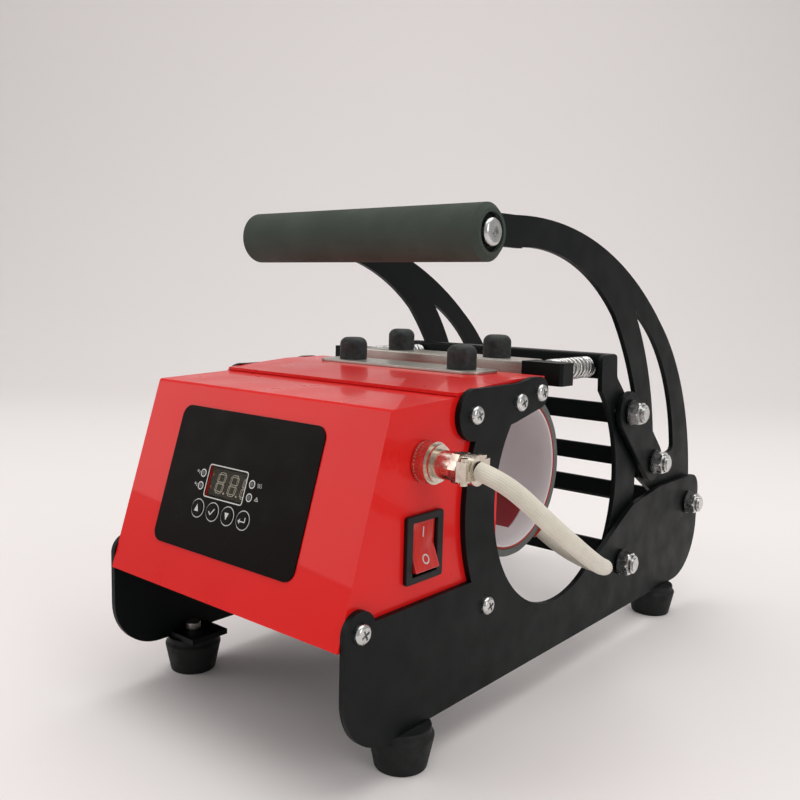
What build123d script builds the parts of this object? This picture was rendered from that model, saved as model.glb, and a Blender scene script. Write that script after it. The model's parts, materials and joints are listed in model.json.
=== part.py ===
"""Mug heat press: a red control box on two steel side plates, a wrap-around heater,
and a toggle handle that closes a spring-loaded rear frame on the mug.

Millimetres. +X is the operator's right, +Y is towards the back, +Z is up.
The origin is on the table, under the middle of the press."""
from build123d import *
from math import atan2, cos, degrees, hypot, pi, radians, sin, tan
import os

# ---- driving dimensions -------------------------------------------------------------
X_OUT = 85.0                    # outer faces of the side plates
STEEL = 3.0                     # plate thickness of plates, arms, links and frame
X_IN = X_OUT - STEEL
PLATE_YS = (-184.0, 189.5)      # front and rear ends of the side plates
FOOT_H = 20.0
FOOT_X = 77.5
FOOT_YS = (-137.0, 135.0)
FOOT_R_TOP = 15.5
FOOT_R_BOTTOM = 12.3
SHELF_X = 62.0                  # inner edge of each foot shelf

HOLE = (-13.0, 113.5)           # centre of the mug opening in each side plate (Y, Z)
HOLE_R = 65.5
COLUMN_R = 90.0                 # front edge of the column, on the same centre
BAND_TOP = 78.0
LOBE_TOP = 91.5                 # top of the rear lobe round the handle pivot
TAB_SCREW = (-174.5, 75.2)
ARM_SCREWS = ((-97.5, 159.5), (-59.0, 162.5), (-39.6, 166.0))
TIE_SCREW = (-82.4, 63.2)

HEATER = (-13.0, 115.0)         # axis of the mug (Y, Z)
MUG_R = 41.0
LINER_T = 1.7
MAT_T = 0.8
PAD_T = 4.5
HEATER_HALF = 55.0
HEATER_START = 102.0            # wrap angles, counted from +Y towards +Z
HEATER_END = 440.0
PATCH_ANGLES = (294.0, 334.0)   # the red patch where the terminals join
PATCH_HALF = 42.0

ARM_PIVOT = (169.5, 73.0)       # the four pivots of the toggle (Y, Z)
FRAME_PIVOT = (66.5, 52.0)
LINK_ARM = (108.5, 110.0)
LINK_FRAME = (69.5, 146.0)
ARM_OPEN = 45.0                 # degrees that the handle swings back
FRAME_RATIO = 0.40              # frame turn for each degree of the handle
LINK_RATIO = -2.10              # link turn on the arm for each degree of the handle
ARM_X0 = 77.0                   # arms and frame sides share this layer
ARM_X1 = ARM_X0 + STEEL
RUN_GAP = 0.2                   # side gap of a moving joint
BOLT_R = 4.0
BOLT_HOLE_R = 4.05
BOLT_END_X = 95.5

GRIP = (-85.6, 245.0)           # handle axis (Y, Z)
GRIP_R = 14.0
GRIP_HALF = 82.5
CORE_R = 8.0
GRIP_SCREW_X = 57.0             # inner end of each grip screw

FACE_BOTTOM = (-185.4, 68.7)    # control box corners (Y, Z)
FACE_TOP = (-154.8, 166.5)
LID_END = (-106.3, 168.5)
BOX_BACK = -72.0
SHEET = 1.5
COVER_TOP = ((-108.0, 170.4), (-63.0, 173.9), (-47.0, 174.0), (-31.0, 174.0))

OVERLAY_CENTRE = (-2.75, 55.9)  # on the sloping face: across, and up from its lower edge
OVERLAY_SIZE = (102.5, 70.3)
OVERLAY_T = 0.6
WINDOW_CENTRE = (-8.85, 55.9)
WINDOW_SIZE = (27.6, 15.0)
KEY_XS = (-24.8, -13.6, -2.4, 8.8)
KEY_U = 41.6
KEY_R = 4.1
KEY_NAMES = ("key_up", "key_ok", "key_down", "key_enter")
LED_PLACES = ((-26.8, 58.8), (-26.8, 52.5), (9.3, 58.8), (9.3, 52.5))

ROCKER = (-131.6, 102.9)        # rocker switch centre on the right wall (Y, Z)
ROCKER_AXIS_X = X_IN - 3.0
ROCKER_TILT = 9.0               # degrees of the rocker at rest, its lower half raised
BEZEL = (26.0, 31.0)
SOCKET = (-131.9, 141.8)        # connector axis on the right wall (Y, Z)
SOCKET_R = 6.0
PLUG_BORE_R = 4.6
RING_R = 9.5                    # knurled coupling ring
RING_GROOVES = 36
PLUG_X = X_IN + 7.0             # where the coupling ring ends and the plug barrel starts
CLAMP_X = PLUG_X + 16.5         # start of the cable clamp
INLET = (-131.6, 100.0)         # mains inlet centre on the left wall (Y, Z)

CAP_R = 8.1
CAP_H = 13.0
FRONT_CAPS = ((-40.0, -47.6), (40.0, -47.6))
FRONT_PLATE_TOP = 175.5
REAR_CAPS = ((-36.0, -7.6), (36.0, -7.6))
REAR_BAR_TOP = 180.0
REAR_BAR_H = 11.0
BAR_T = 2.5                     # wall of the clamp bar's channel
REAR_BAR_YS = (-18.0, 4.0)
REAR_BAR_HALF = 59.5
BLOCK_YS = (-18.0, -4.0)
BLOCK_BOTTOM = 167.5
BOSS_END_Y = 2.0                # rear end of the boss behind each end block
SPRING_X = 65.0
SPRING_Z = 173.8
SPRING_R = 6.5
WIRE_R = 1.0
SPRING_TURNS = 10
TOP_BAR_Y = 49.0
TOP_BAR_Z = (167.0, 182.0)
SLATS = ((82.0, 136.0, 148.5), (88.5, 108.0, 119.5), (88.5, 86.0, 97.0))   # Y, low Z, high Z

CABLE_R = 4.1
CABLE_ROUTE = ((111.5, -131.9, 141.8), (120.8, -131.7, 139.6), (130.4, -128.6, 133.8),
               (137.7, -120.8, 123.8), (141.4, -107.5, 113.3), (140.7, -87.5, 101.3),
               (135.0, -62.0, 89.6), (124.8, -35.5, 80.7), (111.4, -10.8, 72.1), (97.9, 8.2, 65.9),
               (82.0, 18.5, 63.5), (66.0, 20.0, 68.0), (56.0, 17.0, 75.5))


# ---- helpers ------------------------------------------------------------------------
def save(name, *solids):
    """Write one node: one solid, or a group of separate solids."""
    shape = solids[0] if len(solids) == 1 else Compound(children=list(solids))
    export_step(shape, f"parts/{name}.step")


def sheet_x(sketch, x0, x1):
    """Extrude a (Y, Z) sketch from x0 to x1."""
    return extrude(Plane.YZ.offset(x0) * sketch, amount=x1 - x0, dir=(1, 0, 0))


def rod_x(radius, x0, x1, place):
    """A round bar along X at a (Y, Z) place."""
    return sheet_x(Pos(*place) * Circle(radius), x0, x1)


def ring_x(outer, inner, x0, x1, place):
    """A washer or spacer along X at a (Y, Z) place."""
    return sheet_x(Pos(*place) * (Circle(outer) - Circle(inner)), x0, x1)


def block(x0, x1, y0, y1, z0, z1):
    """A rectangular block between two corners."""
    return Pos(x0, y0, z0) * Box(x1 - x0, y1 - y0, z1 - z0, align=(Align.MIN,) * 3)


def rod_y(radius, y0, y1, x, z):
    """A round bar along Y."""
    centre = Pos(x, (y0 + y1) / 2, z)
    return centre * Rot(90, 0, 0) * Cylinder(radius, y1 - y0)


def rod_z(radius, z0, z1, x, y):
    """A round bar along Z."""
    return Pos(x, y, (z0 + z1) / 2) * Cylinder(radius, z1 - z0)


def polygon(*points):
    """A flat face with its normal along +Z, whichever way round the points run."""
    pairs = zip(points, points[1:] + points[:1])
    area = sum(a[0] * b[1] - b[0] * a[1] for a, b in pairs)
    ordered = points if area > 0 else points[::-1]
    return Sketch() + Polygon(*ordered, align=None)


def outline(*corners):
    """A polygon from (y, z, radius) corners, each rounded by its own radius."""
    sketch = polygon(*[(y, z) for y, z, _ in corners])
    for y, z, radius in corners:
        if radius:
            corner = sketch.vertices().sort_by_distance((y, z, 0))[0]
            sketch = fillet(corner, radius)
    return sketch


def left(part):
    """The same piece on the operator's left."""
    return mirror(part, about=Plane.YZ)


def both(part):
    """A piece and its mirror image, as separate solids."""
    return [part, left(part)]


def turned(place, centre, angle):
    """A (Y, Z) place turned about a centre by degrees, +Y towards +Z."""
    dy = place[0] - centre[0]
    dz = place[1] - centre[1]
    c = cos(radians(angle))
    s = sin(radians(angle))
    return (centre[0] + c * dy - s * dz, centre[1] + s * dy + c * dz)


def arc_band(inner, outer, start, end, centre=HEATER):
    """A ring sector around the mug axis, between two angles in degrees."""
    def at(radius, angle):
        return (centre[0] + radius * cos(radians(angle)), centre[1] + radius * sin(radians(angle)))
    middle = (start + end) / 2
    edges = Curve() + [
        ThreePointArc(at(outer, start), at(outer, middle), at(outer, end)),
        Line(at(outer, end), at(inner, end)),
        ThreePointArc(at(inner, end), at(inner, middle), at(inner, start)),
        Line(at(inner, start), at(outer, start)),
    ]
    return make_face(edges)


# ---- base: side plates and feet -----------------------------------------------------
def side_plate():
    front, rear = PLATE_YS
    lower = outline((front, FOOT_H, 28), (rear, FOOT_H, 36), (rear, LOBE_TOP, 13),
                    (121, LOBE_TOP, 30), (81, 86, 30), (34, 62, 0), (-60, 70, 0),
                    (-95, BAND_TOP, 0), (TAB_SCREW[0], BAND_TOP, 0), (front, TAB_SCREW[1], 0))
    column = (Pos(*HOLE) * Circle(COLUMN_R)) & outline((-110, 70, 0), (-58, 70, 0),
                                                        (-58, 158, 0), (-110, 158, 0))
    head = Pos(*ARM_SCREWS[0]) * Circle(12.5)
    tip = Pos(*ARM_SCREWS[2]) * Circle(8.2)
    finger = outline((-97.5, 147, 0), (-62, 152.5, 0), (-38, 158, 0), (-38, 174.2, 0),
                     (-47, 174.4, 12), (-60, 172.2, 20), (-97.5, 171.8, 0))
    tab = Pos(*TAB_SCREW) * Circle(TAB_SCREW[0] - front)
    sketch = lower + column + tab - Pos(*HOLE) * Circle(HOLE_R)
    sketch = sketch + head + finger + tip
    for place in ARM_SCREWS + (TIE_SCREW, TAB_SCREW):
        sketch = sketch - Pos(*place) * Circle(2.1)
    for place in (ARM_PIVOT, FRAME_PIVOT):
        sketch = sketch - Pos(*place) * Circle(BOLT_R)
    plate = sheet_x(sketch, X_IN, X_OUT)
    for y in FOOT_YS:
        shelf = block(SHELF_X, X_IN, y - 12, y + 12, FOOT_H, FOOT_H + STEEL)
        plate = plate + shelf - rod_z(3.1, FOOT_H - 1, FOOT_H + 5, FOOT_X, y)
    return plate


def rubber_foot(x, y):
    profile = Polyline((3.1, 3), (0, 3), (0, 0), (FOOT_R_BOTTOM, 0), (FOOT_R_TOP, 15.5),
                       (FOOT_R_TOP - 1.5, 17), (FOOT_R_TOP - 1.5, FOOT_H), (3.1, FOOT_H), close=True)
    return Pos(x, y, 0) * revolve(Plane.XZ * make_face(profile), Axis.Z)


def foot_bolt(x, y):
    shank = rod_z(3.0, 3.0, FOOT_H + STEEL, x, y)
    head = rod_z(4.2, FOOT_H + STEEL, FOOT_H + STEEL + 3.6, x, y)
    return shank + head


def feet():
    places = [(side * FOOT_X, y) for side in (-1, 1) for y in FOOT_YS]
    save("rubber_feet", *[rubber_foot(x, y) for x, y in places])
    save("foot_bolts", *[foot_bolt(x, y) for x, y in places])


def tie_rods():
    """Round spacers between the side plates, with a screw in each end."""
    rod = rod_x(5, -X_IN, X_IN, TIE_SCREW)
    rod = rod - rod_x(2.0, X_IN - 14, X_IN, TIE_SCREW) - rod_x(2.0, -X_IN, -X_IN + 14, TIE_SCREW)
    save("base_tie_rod", rod)


# ---- fasteners ----------------------------------------------------------------------
def pan_screw(place, depth):
    """A cross-recess pan-head screw, its head on the outer face of the right plate."""
    head = Pos(*place) * Circle(4.6)
    head = extrude(Plane.YZ.offset(X_OUT) * head, amount=2.8)
    head = fillet(head.edges().sort_by(Axis.X)[-1], 2.0)
    arm = Rectangle(4.8, 1.1) + Rectangle(1.1, 4.8)
    cross = sheet_x(Pos(*place) * Rot(0, 0, 25) * arm, X_OUT + 1.3, X_OUT + 3)
    return head - cross + rod_x(2.0, X_OUT - depth, X_OUT, place)


def side_screws():
    screws = []
    for place in (TAB_SCREW,) + ARM_SCREWS:
        screws += both(pan_screw(place, 8.0))
    screws += both(pan_screw(TIE_SCREW, 14.0))
    save("side_screws", *screws)


def lock_nut(x0, place):
    """A hexagonal lock nut with its plastic ring collar, along X."""
    hexagon = Pos(*place) * RegularPolygon(7.5, 6)
    body = sheet_x(hexagon, x0, x0 + 6)
    cone = Pos(x0 + 3, *place) * Rot(0, 90, 0) * Cone(10.0, 7.0, 6)
    body = body & cone
    body = body + rod_x(5.6, x0 + 6, x0 + 8, place)
    return body - rod_x(BOLT_R, x0 - 1, x0 + 9, place)


def pivot_bolt(place):
    """A round-head bolt from inside the arm to beyond the outer nut."""
    head = rod_x(6.5, ARM_X0 - RUN_GAP - 4.5, ARM_X0 - RUN_GAP, place)
    head = fillet(head.edges().sort_by(Axis.X)[0], 1.6)
    socket = sheet_x(Pos(*place) * RegularPolygon(2.9, 6), ARM_X0 - 5.2, ARM_X0 - 2.8)
    return head - socket + rod_x(BOLT_R, ARM_X0 - RUN_GAP, BOLT_END_X, place)


def pivot_set(bolts, nuts, places):
    """Bolts, and lock nuts with their washers, for a list of pivots on both sides."""
    nut_x = X_OUT + 1.5
    save(bolts, *[p for place in places for p in both(pivot_bolt(place))])
    pieces = []
    for place in places:
        pieces += both(lock_nut(nut_x, place))
        pieces += both(ring_x(7.9, BOLT_R, X_OUT, nut_x, place))
        pieces += both(ring_x(11.5, BOLT_R, ARM_X1 + RUN_GAP, X_IN, place))
    save(nuts, *pieces)


# ---- base: control box --------------------------------------------------------------
FACE_LENGTH = hypot(FACE_TOP[0] - FACE_BOTTOM[0], FACE_TOP[1] - FACE_BOTTOM[1])
FACE_UP = ((FACE_TOP[0] - FACE_BOTTOM[0]) / FACE_LENGTH, (FACE_TOP[1] - FACE_BOTTOM[1]) / FACE_LENGTH)
FACE = Plane(origin=(0, *FACE_BOTTOM), x_dir=(1, 0, 0), z_dir=(0, -FACE_UP[1], FACE_UP[0]))


def face_inside_y(z):
    """Where the inner side of the sloping face is, at a height."""
    return FACE_BOTTOM[0] + ((z - FACE_BOTTOM[1]) * FACE_UP[0] + SHEET) / FACE_UP[1]


def on_face(sketch, place, z0, z1):
    """Extrude a sketch placed on the sloping face, from depth z0 to z1 along its normal."""
    return extrude(FACE.offset(z0) * Pos(*place) * sketch, amount=z1 - z0, dir=FACE.z_dir)


def face_openings(clearance, z0, z1):
    """The window, key and lamp openings that pass through the face."""
    window = RectangleRounded(WINDOW_SIZE[0] + clearance, WINDOW_SIZE[1] + clearance, 1.0)
    cuts = on_face(window, WINDOW_CENTRE, z0, z1)
    for x in KEY_XS:
        cuts = cuts + on_face(Circle(KEY_R + 0.15 + clearance), (x, KEY_U), z0, z1)
    for place in LED_PLACES:
        cuts = cuts + on_face(Circle(1.3 + clearance), place, z0, z1)
    return cuts


def control_box_shell():
    """Folded sheet: sloping face, lid and two side walls, open below and behind."""
    corners = (FACE_BOTTOM, FACE_TOP, LID_END, (BOX_BACK, 168.5), (BOX_BACK, FACE_BOTTOM[1]))
    outer = sheet_x(polygon(*corners), -X_IN, X_IN)
    fold = outer.edges().filter_by(Axis.X).sort_by_distance((0, *FACE_TOP))[0]
    outer = fillet(fold, 2.0)
    lid_in = LID_END[1] - SHEET
    inside = polygon((face_inside_y(60), 60), (face_inside_y(165), 165), (LID_END[0], lid_in),
                     (-60, lid_in), (-60, 60))
    inside = sheet_x(inside, -X_IN + SHEET, X_IN - SHEET)
    lid_gap = block(-X_IN + SHEET, X_IN - SHEET, LID_END[0], -60, 160, 170)
    shell = outer - inside - lid_gap - face_openings(0.4, -3, 1)
    bezel = sheet_x(Pos(*ROCKER) * Rectangle(21.5, 27.5), X_IN - 4, X_IN + 1)
    shell = shell - bezel - rod_x(SOCKET_R + 0.05, X_IN - 4, X_IN + 1, SOCKET)
    shell = shell - sheet_x(Pos(*INLET) * Rectangle(20.2, 27.2), -X_IN - 1, -X_IN + 4)
    for place in (TAB_SCREW, ARM_SCREWS[0]):
        shell = shell - rod_x(2.0, -X_IN - 1, X_IN + 1, place)
    return shell


def box_back_wall():
    """The box's rear wall, folded forward at the floor to close it from below."""
    width = X_IN - SHEET
    wall = block(-width, width, BOX_BACK - SHEET, BOX_BACK, 70, 167)
    floor = block(-width, width, face_inside_y(70) + 0.6, BOX_BACK, 70, 70 + SHEET)
    slots = [block(x, x + 3, -160, -120, 69, 72) for x in range(-60, 61, 12)]
    floor = floor - Compound(children=slots)
    return wall + floor


def rear_cover():
    """The red cover over the heater's front clamp, with folded sides and lips."""
    width = X_IN
    lower = [(y, z - SHEET) for y, z in COVER_TOP]
    front_drop = (COVER_TOP[0][0], LID_END[1] + 0.2)
    top = polygon(*COVER_TOP, *reversed(lower[1:]), (front_drop[0] + 4, front_drop[1]), front_drop)
    top = sheet_x(top, -width, width)
    lip = block(-width, width, -32.5, -31, 166, 173.5)
    sides = polygon((BOX_BACK, 157.5), (-60, 158.5), (-36, 161.5), (-31, 163), (-31, 173.5),
                    (-47, 173.5), (-60, 171.6), (BOX_BACK, 171))
    wall = sheet_x(sides, width - SHEET, width)
    cover = top + lip + wall + left(wall)
    for place in ARM_SCREWS[1:]:
        cover = cover - rod_x(2.0, -width - 1, width + 1, place)
    for x, y in FRONT_CAPS:
        cover = cover - rod_z(3.1, 160, 180, x, y)
    return cover


def heater_cradle():
    """A curved support behind the box wall that carries the front half of the heater."""
    outside = MUG_R + LINER_T + MAT_T + PAD_T
    band = sheet_x(arc_band(outside, outside + SHEET, 128, 250), -50, 50)
    foot = block(-40, 40, BOX_BACK, -55, 113, 116)
    trough = rod_x(outside, -60, 60, HEATER)
    return band + (foot - trough)


def control_box():
    save("control_box_shell", control_box_shell())
    save("box_back_wall", box_back_wall())
    save("rear_cover", rear_cover())
    save("heater_cradle", heater_cradle())


# ---- base: panel pieces -------------------------------------------------------------
def panel():
    sheet = on_face(RectangleRounded(*OVERLAY_SIZE, 6.0), OVERLAY_CENTRE, 0, OVERLAY_T)
    save("panel_overlay", sheet - face_openings(0.0, -1, 2))
    window = RectangleRounded(*WINDOW_SIZE, 1.0)
    save("display_window", on_face(window, WINDOW_CENTRE, -0.6, OVERLAY_T))
    module = on_face(Rectangle(WINDOW_SIZE[0] - 1, WINDOW_SIZE[1] - 1), WINDOW_CENTRE, -8.0, -0.7)
    save("display_module", module)
    lamps = [on_face(Circle(1.25), place, -8.0, OVERLAY_T + 0.2) for place in LED_PLACES]
    save("indicator_lamps", *lamps)
    for name, x in zip(KEY_NAMES, KEY_XS):
        cap = on_face(Circle(KEY_R), (x, KEY_U), -2.4, OVERLAY_T + 0.7)
        save(name, fillet(cap.edges().filter_by(GeomType.CIRCLE).sort_by(Axis.Y)[0], 0.35))
    save("control_board", control_board())


def control_board():
    """The circuit board behind the face, with a push switch under each key."""
    board = on_face(Rectangle(84, 52), (-8.0, 52.0), -9.6, -8.0)
    for x in KEY_XS:
        board = board + on_face(Rectangle(6, 6), (x, KEY_U), -8.0, -4.6)
        board = board + on_face(Circle(1.7), (x, KEY_U), -4.6, -3.1)
    for x, u in ((-46, 30), (30, 30), (-46, 74), (30, 74)):
        board = board + on_face(Circle(2.5), (x, u), -8.0, -1.6)
    return board


def power_board():
    """Relay, transformer and terminal block on a board fixed to the box floor."""
    deck = 71.5
    board = block(-45, 45, -150, -90, deck + 5, deck + 6.6)
    pillars = [rod_z(2.5, deck, deck + 5, x, y) for x in (-41, 41) for y in (-146, -94)]
    board = board + pillars[0] + pillars[1] + pillars[2] + pillars[3]
    top = deck + 6.6
    save("transformer", block(-40, -5, -145, -115, top, top + 28))
    save("power_relay", block(2, 30, -140, -122, top, top + 20))
    terminal = block(-30, 30, -108, -96, top, top + 11)
    for x in range(-25, 26, 10):
        terminal = terminal - rod_z(2.6, top + 5, top + 12, x, -102)
    save("power_board", board, terminal)


# ---- base: wall fittings ------------------------------------------------------------
def rocker_switch():
    frame = sheet_x(Pos(*ROCKER) * RectangleRounded(*BEZEL, 1.5), X_IN, X_IN + 2.2)
    can = sheet_x(Pos(*ROCKER) * Rectangle(21, 27), X_IN - 20, X_IN)
    pocket = sheet_x(Pos(*ROCKER) * Rectangle(17.4, 24.4), X_IN - 11, X_IN + 3)
    blades = [block(X_IN - 28, X_IN - 20, ROCKER[0] - 3, ROCKER[0] + 3, z, z + 0.8)
              for z in (ROCKER[1] - 8, ROCKER[1], ROCKER[1] + 8)]
    housing = frame + can - pocket
    for blade in blades:
        housing = housing + blade
    save("rocker_housing", housing)
    save("power_rocker", rocker_cap())



def rocker_cap():
    """The rocker: two flat halves in a shallow V, resting with its lower half raised."""
    profile = polygon((-11.2, 5.6), (0, 3.4), (11.2, 5.6), (11.2, 2.4), (7, -4.6), (-7, -4.6),
                      (-11.2, 2.4))
    body = extrude(profile, amount=8.4, both=True)
    # sketch X runs down the wall and sketch Y points out of it
    place = Plane(origin=(ROCKER_AXIS_X, *ROCKER), x_dir=(0, 0, -1), z_dir=(0, -1, 0))
    body = place * Rot(0, 0, ROCKER_TILT) * body
    return body


def panel_socket():
    """The round threaded socket on the right wall, with its inner nut."""
    barrel = ring_x(SOCKET_R, 4.4, X_IN - 10, X_IN + 6, SOCKET)
    flange = ring_x(8.0, 4.4, X_IN - 3.5, X_IN - SHEET, SOCKET)
    floor = rod_x(4.5, X_IN - 10, X_IN - 6, SOCKET)
    pins = [rod_x(0.7, X_IN - 15, X_IN + 3, (SOCKET[0] + 2.2 * cos(a), SOCKET[1] + 2.2 * sin(a)))
            for a in (0.5, 2.6, 4.7)]
    socket = barrel + flange + floor
    for pin in pins:
        socket = socket + pin
    return socket


def knurled_ring():
    """The coupling ring that screws the plug on, cut with fine grooves."""
    ring = ring_x(RING_R, SOCKET_R + 0.1, X_IN + 0.5, PLUG_X, SOCKET)
    for i in range(RING_GROOVES):
        angle = 2 * pi * i / RING_GROOVES
        groove_at = RING_R + 0.2
        place = (SOCKET[0] + groove_at * cos(angle), SOCKET[1] + groove_at * sin(angle))
        ring = ring - rod_x(0.45, X_IN + 1.5, PLUG_X - 1.0, place)
    return ring


def cable_plug():
    """Plug barrel, tapering to a hexagonal cable nut and a two-screw cable clamp."""
    lip = ring_x(8.4, PLUG_BORE_R, PLUG_X, PLUG_X + 2, SOCKET)
    barrel = ring_x(6.4, PLUG_BORE_R, PLUG_X + 2, PLUG_X + 11, SOCKET)
    nut = Pos(*SOCKET) * (RegularPolygon(7.4, 6) - Circle(PLUG_BORE_R))
    nut = sheet_x(nut, PLUG_X + 11, PLUG_X + 15)
    neck = ring_x(5.8, PLUG_BORE_R, PLUG_X + 15, CLAMP_X, SOCKET)
    save("plug_body", lip + barrel, nut + neck)
    clamp = ring_x(6.6, CABLE_R, CLAMP_X, CLAMP_X + 6, SOCKET)
    for side in (-1, 1):
        y = SOCKET[0] + side * 6.6
        ear = block(CLAMP_X + 0.4, CLAMP_X + 5.6, y - 2.2, y + 2.2, SOCKET[1] - 4.4, SOCKET[1] + 4.4)
        clamp = clamp + ear
    clamp = clamp - rod_x(CABLE_R, CLAMP_X - 1, CLAMP_X + 7, SOCKET)
    screws = [rod_z(1.8, SOCKET[1] - 5.8, SOCKET[1] + 5.8, CLAMP_X + 3, SOCKET[0] + side * 6.8)
              for side in (-1, 1)]
    save("plug_cable_clamp", clamp + screws[0] + screws[1])


def power_inlet():
    """The three-pin mains inlet on the left wall."""
    x_face = -X_IN - 2.0
    flange = sheet_x(Pos(*INLET) * RectangleRounded(23.5, 31, 2), x_face, -X_IN)
    can = sheet_x(Pos(*INLET) * Rectangle(19.6, 26.6), -X_IN, -X_IN + 24)
    recess = sheet_x(Pos(*INLET) * outline((-7.6, -11.6, 4), (7.6, -11.6, 1), (7.6, 11.6, 1),
                                            (-7.6, 11.6, 4)), x_face - 1, -X_IN + 17)
    inlet = flange + can - recess
    for y, z in ((-2.0, -7.0), (2.2, 0.0), (-2.0, 7.0)):
        inlet = inlet + block(-X_IN + 6, -X_IN + 30, INLET[0] + y - 1, INLET[0] + y + 1,
                              INLET[1] + z - 2, INLET[1] + z + 2)
    return inlet


# ---- base: heater cable -------------------------------------------------------------
def arc_radii(points):
    """The largest smooth radius at each inner corner of a route."""
    vectors = [Vector(*p) for p in points]
    radii = []
    for a, b, c in zip(vectors, vectors[1:], vectors[2:]):
        turn = (b - a).get_angle(c - b)
        shorter = min((b - a).length, (c - b).length)
        radii.append(0.45 * shorter / tan(radians(turn) / 2))
    return radii


def heater_cable():
    """The round cable, swept along the route with each corner as smooth as it can be."""
    path = FilletPolyline(*CABLE_ROUTE, radius=arc_radii(CABLE_ROUTE))
    section = Plane(origin=path @ 0, z_dir=path % 0) * Circle(CABLE_R)
    return sweep(section, path=path)


def cable_boot():
    """The silicone boot where the cable enters the heater's edge."""
    end = Vector(*CABLE_ROUTE[-1])
    direction = (end - Vector(*CABLE_ROUTE[-2])).normalized()
    boot = Plane(origin=end, z_dir=direction) * Pos(0, 0, 6.5) * Cylinder(5.4, 13)
    return boot - rod_x(MUG_R + LINER_T + MAT_T + PAD_T, -60, 60, HEATER)


# ---- base: heater -------------------------------------------------------------------
def heater():
    liner = sheet_x(arc_band(MUG_R, MUG_R + LINER_T, HEATER_START, HEATER_END),
                    -HEATER_HALF, HEATER_HALF)
    patch = sheet_x(arc_band(MUG_R, MUG_R + LINER_T, *PATCH_ANGLES), -PATCH_HALF, PATCH_HALF)
    save("heater_liner", liner - patch)
    save("terminal_patch", patch)
    r1 = MUG_R + LINER_T
    r2 = r1 + MAT_T
    r3 = r2 + PAD_T
    save("heater_mat", sheet_x(arc_band(r1, r2, HEATER_START, HEATER_END), -HEATER_HALF, HEATER_HALF))
    save("heater_pad", sheet_x(arc_band(r2, r3, HEATER_START, HEATER_END), -HEATER_HALF, HEATER_HALF))


# ---- clamps -------------------------------------------------------------------------
def dome_cap(x, y, z):
    """A moulded cap over a clamp bolt, with a domed top and a thread socket."""
    cap = Pos(x, y, z + CAP_H / 2) * Cylinder(CAP_R, CAP_H)
    cap = fillet(cap.edges().sort_by(Axis.Z)[-1], 4.4)
    return cap - rod_z(3.0, z, z + 8, x, y)


def clamp_bolt(x, y, z_low, z_high):
    """A clamp bolt with its head below the cover."""
    head = Pos(x, y, z_low) * extrude(RegularPolygon(5.2, 6), amount=3)
    return head + rod_z(3.0, z_low + 3, z_high, x, y)


def front_clamp():
    z1 = FRONT_PLATE_TOP
    plate = Pos(0, -47.6, z1 - 0.75) * extrude(RectangleRounded(116, 27, 8), amount=1.5, both=True)
    plate = plate & block(-60, 60, -62, -33, z1 - 1.5, z1)
    for x, y in FRONT_CAPS:
        plate = plate - rod_z(3.1, z1 - 3, z1 + 3, x, y)
    save("front_clamp_plate", plate)
    save("front_clamp_caps", *[dome_cap(x, y, z1) for x, y in FRONT_CAPS])
    save("front_clamp_bolts", *[clamp_bolt(x, y, 168.4, z1 + 8) for x, y in FRONT_CAPS])


def rear_clamp_bar():
    """The sliding clamp bar: a plated channel, open below, with a bolt hole at each cap."""
    z0 = REAR_BAR_TOP - REAR_BAR_H
    bar = block(-REAR_BAR_HALF, REAR_BAR_HALF, *REAR_BAR_YS, z0, REAR_BAR_TOP)
    bar = fillet(bar.edges().filter_by(Axis.X).sort_by(Axis.Z)[-2:], 1.2)
    hollow = block(-X_IN, X_IN, REAR_BAR_YS[0] + BAR_T, REAR_BAR_YS[1] - BAR_T, z0 - 1, REAR_BAR_TOP - BAR_T)
    bar = bar - hollow
    for x, y in REAR_CAPS:
        bar = bar - rod_z(3.1, 165, 182, x, y)
    return bar


def end_block():
    """The black block at the end of the clamp bar; its boss slides on the spring bolt."""
    front, back = BLOCK_YS
    shape = block(REAR_BAR_HALF, X_OUT, front, back, BLOCK_BOTTOM, REAR_BAR_TOP)
    shape = chamfer(shape.edges().filter_by(Axis.Z).sort_by(Axis.X)[-2:], 1.5)
    shape = shape + rod_y(5.3, back, BOSS_END_Y, SPRING_X, SPRING_Z)
    return shape - rod_y(3.3, front + 3, BOSS_END_Y + 1, SPRING_X, SPRING_Z)


def spring_bolt():
    """The bolt through the frame's top bar that carries the spring and the block."""
    shank = rod_y(3.0, BLOCK_YS[0] + 7, TOP_BAR_Y + 10, SPRING_X, SPRING_Z)
    nut = Plane(origin=(SPRING_X, TOP_BAR_Y + 3, SPRING_Z), z_dir=(0, 1, 0))
    return shank + nut * extrude(RegularPolygon(5.0, 6), amount=5)


def spring():
    """A coil spring along Y, round the spring bolt."""
    y0 = BOSS_END_Y + WIRE_R + 0.1
    y1 = TOP_BAR_Y - WIRE_R - 0.1
    path = Helix(pitch=(y1 - y0) / SPRING_TURNS, height=y1 - y0, radius=SPRING_R - WIRE_R)
    section = Plane(origin=path @ 0, z_dir=path % 0) * Circle(WIRE_R)
    coil = sweep(section, path=path, is_frenet=True)
    place = Plane(origin=(SPRING_X, y0, SPRING_Z), z_dir=(0, 1, 0))
    return place * coil


def rear_clamp():
    save("rear_clamp_bar", rear_clamp_bar())
    save("end_blocks", *both(end_block()))
    save("rear_clamp_caps", *[dome_cap(x, y, REAR_BAR_TOP) for x, y in REAR_CAPS])
    save("rear_clamp_bolts", *[clamp_bolt(x, y, 173.5, REAR_BAR_TOP + 8) for x, y in REAR_CAPS])
    save("clamp_springs", *both(spring()))
    save("spring_bolts", *both(spring_bolt()))


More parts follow.
